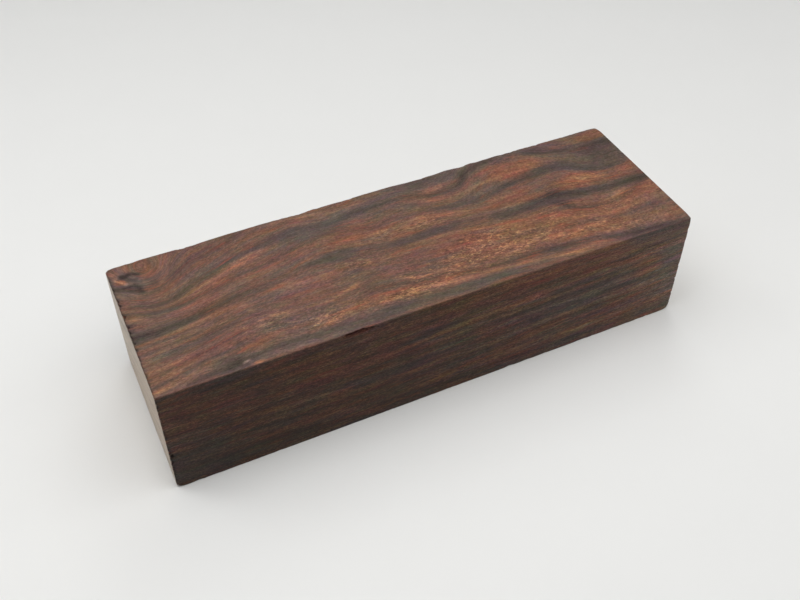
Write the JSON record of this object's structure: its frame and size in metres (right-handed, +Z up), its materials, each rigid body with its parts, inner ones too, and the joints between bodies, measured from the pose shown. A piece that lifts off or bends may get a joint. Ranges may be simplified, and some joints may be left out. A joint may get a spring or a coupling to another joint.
{
  "type": "ironwood block",
  "caption": "Rectangular sawn block of desert ironwood with wavy figure, lying on a wide face; a blank for knife and tool handles.",
  "frame": {"origin": "centre of the underside of the block's bounding box", "axes": "+X along the grain to the right end, +Y to the back, +Z up through the thickness"},
  "size_m": [0.128, 0.0406, 0.0299],
  "materials": {
    "ironwood": "fine sawn and sanded bare wood, satin from its own oil, with a thin pale seal on the two ends"
  },
  "bodies": {
    "root": {"ironwood_block": "ironwood"}
  },
  "joints": []
}
